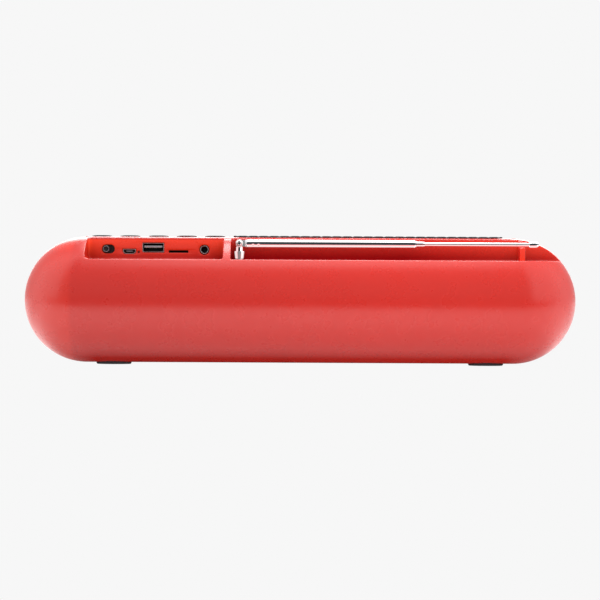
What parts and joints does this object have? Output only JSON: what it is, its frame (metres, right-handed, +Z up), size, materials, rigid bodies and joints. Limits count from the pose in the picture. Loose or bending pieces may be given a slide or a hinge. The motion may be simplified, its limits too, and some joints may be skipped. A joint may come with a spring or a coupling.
{
  "type": "portable bluetooth speaker",
  "caption": "Pill-shaped portable radio speaker with push buttons, phone rest, sockets and a folding telescopic antenna.",
  "frame": {"origin": "centre of the capsule-shaped casing, which is also the centre of the whole part's box", "axes": "+X along the casing towards the antenna tip, +Y towards the loudspeaker grille, -Y is the socket and antenna side, +Z up"},
  "size_m": [0.3374, 0.0766, 0.079],
  "materials": {
    "red_plastic": "satin moulded",
    "button_plastic": "satin",
    "black_plastic": "fine moulded texture",
    "rubber": "matt",
    "antenna_chrome": "bright plated",
    "socket_steel": "stamped tin plate",
    "plain_steel": "zinc plated",
    "driver_steel": "satin black",
    "grille_steel": "powder coated",
    "magnet": "sintered ferrite",
    "cone_paper": "pressed pulp",
    "circuit_board": "solder resist",
    "led_lens": "clear moulded",
    "cell_wrap": "shrink sleeve",
    "red_wire": "insulation",
    "black_wire": "insulation"
  },
  "bodies": {
    "casing": {"rear_shell": "red_plastic", "front_bezel": "red_plastic", "control_panel": "red_plastic", "front_grille": "grille_steel", "front_baffle": "black_plastic", "foot_left": "rubber", "foot_right": "rubber", "key_dome_1": "plain_steel", "key_dome_2": "plain_steel", "key_dome_3": "plain_steel", "key_dome_4": "plain_steel", "key_dome_5": "plain_steel", "key_board": "circuit_board", "phone_rest": "rubber", "antenna_stud": "plain_steel", "antenna_nut": "plain_steel", "antenna_lug": "plain_steel", "power_switch_body": "plain_steel", "micro_usb_socket": "socket_steel", "micro_usb_tongue": "black_plastic", "usb_socket": "socket_steel", "usb_tongue": "black_plastic", "card_socket": "socket_steel", "aux_jack_body": "black_plastic", "aux_jack_ferrule": "socket_steel", "status_led": "led_lens", "main_board": "circuit_board", "left_driver_frame": "driver_steel", "left_driver_magnet": "magnet", "right_driver_frame": "driver_steel", "right_driver_magnet": "magnet", "radiator_surround": "rubber", "baffle_screw_1": "plain_steel", "baffle_screw_2": "plain_steel", "baffle_screw_3": "plain_steel", "baffle_screw_4": "plain_steel", "battery_cell_1": "cell_wrap", "battery_cell_2": "cell_wrap", "battery_holder": "black_plastic", "left_speaker_wire": "red_wire", "right_speaker_wire": "red_wire", "battery_lead": "black_wire", "antenna_lead": "black_wire"},
    "mode_key": {"mode_button": "button_plastic"},
    "previous_key": {"previous_button": "button_plastic"},
    "play_key": {"play_button": "button_plastic"},
    "next_key": {"next_button": "button_plastic"},
    "repeat_key": {"repeat_button": "button_plastic"},
    "power_knob": {"power_slider": "black_plastic"},
    "antenna_post": {"antenna_swivel": "antenna_chrome", "antenna_hinge_screw": "antenna_chrome"},
    "antenna_first": {"antenna_knuckle": "antenna_chrome", "antenna_tube_1": "antenna_chrome"},
    "antenna_second": {"antenna_tube_2": "antenna_chrome"},
    "antenna_third": {"antenna_tube_3": "antenna_chrome"},
    "antenna_end": {"antenna_rod": "antenna_chrome", "antenna_tip": "antenna_chrome"},
    "left_cone": {"left_driver_cone": "cone_paper"},
    "right_cone": {"right_driver_cone": "cone_paper"},
    "radiator": {"radiator_plate": "black_plastic"}
  },
  "joints": [
    {"name": "mode_press", "type": "slide", "parent": "casing", "child": "mode_key", "axis": [0, 0, -1], "range_m": [0, 0.0005], "stiffness_N_per_m": 60},
    {"name": "previous_press", "type": "slide", "parent": "casing", "child": "previous_key", "axis": [0, 0, -1], "range_m": [0, 0.0005], "stiffness_N_per_m": 60},
    {"name": "play_press", "type": "slide", "parent": "casing", "child": "play_key", "axis": [0, 0, -1], "range_m": [0, 0.0005], "stiffness_N_per_m": 60},
    {"name": "next_press", "type": "slide", "parent": "casing", "child": "next_key", "axis": [0, 0, -1], "range_m": [0, 0.0005], "stiffness_N_per_m": 60},
    {"name": "repeat_press", "type": "slide", "parent": "casing", "child": "repeat_key", "axis": [0, 0, -1], "range_m": [0, 0.0005], "stiffness_N_per_m": 60},
    {"name": "power_slide", "type": "slide", "parent": "casing", "child": "power_knob", "axis": [1, 0, 0], "range_m": [0, 0.0026]},
    {"name": "antenna_swivel_turn", "type": "hinge", "parent": "casing", "child": "antenna_post", "pos_m": [-0.037, -0.013, 0.0345], "axis": [0, 0, -1], "range_deg": [0, 100]},
    {"name": "antenna_tilt", "type": "hinge", "parent": "antenna_post", "child": "antenna_first", "pos_m": [-0.037, -0.013, 0.0345], "axis": [0, -1, 0], "range_deg": [0, 120]},
    {"name": "antenna_pull_2", "type": "slide", "parent": "antenna_first", "child": "antenna_second", "axis": [1, 0, 0], "range_m": [0, 0.085]},
    {"name": "antenna_pull_3", "type": "slide", "parent": "antenna_second", "child": "antenna_third", "axis": [1, 0, 0], "range_m": [0, 0.085]},
    {"name": "antenna_pull_4", "type": "slide", "parent": "antenna_third", "child": "antenna_end", "axis": [1, 0, 0], "range_m": [-0.063, 0.028]},
    {"name": "left_cone_stroke", "type": "slide", "parent": "casing", "child": "left_cone", "axis": [0, 1, 0], "range_m": [-0.0015, 0.0015], "stiffness_N_per_m": 200},
    {"name": "right_cone_stroke", "type": "slide", "parent": "casing", "child": "right_cone", "axis": [0, 1, 0], "range_m": [-0.0015, 0.0015], "stiffness_N_per_m": 200},
    {"name": "radiator_stroke", "type": "slide", "parent": "casing", "child": "radiator", "axis": [0, 1, 0], "range_m": [-0.002, 0.002], "stiffness_N_per_m": 200}
  ]
}
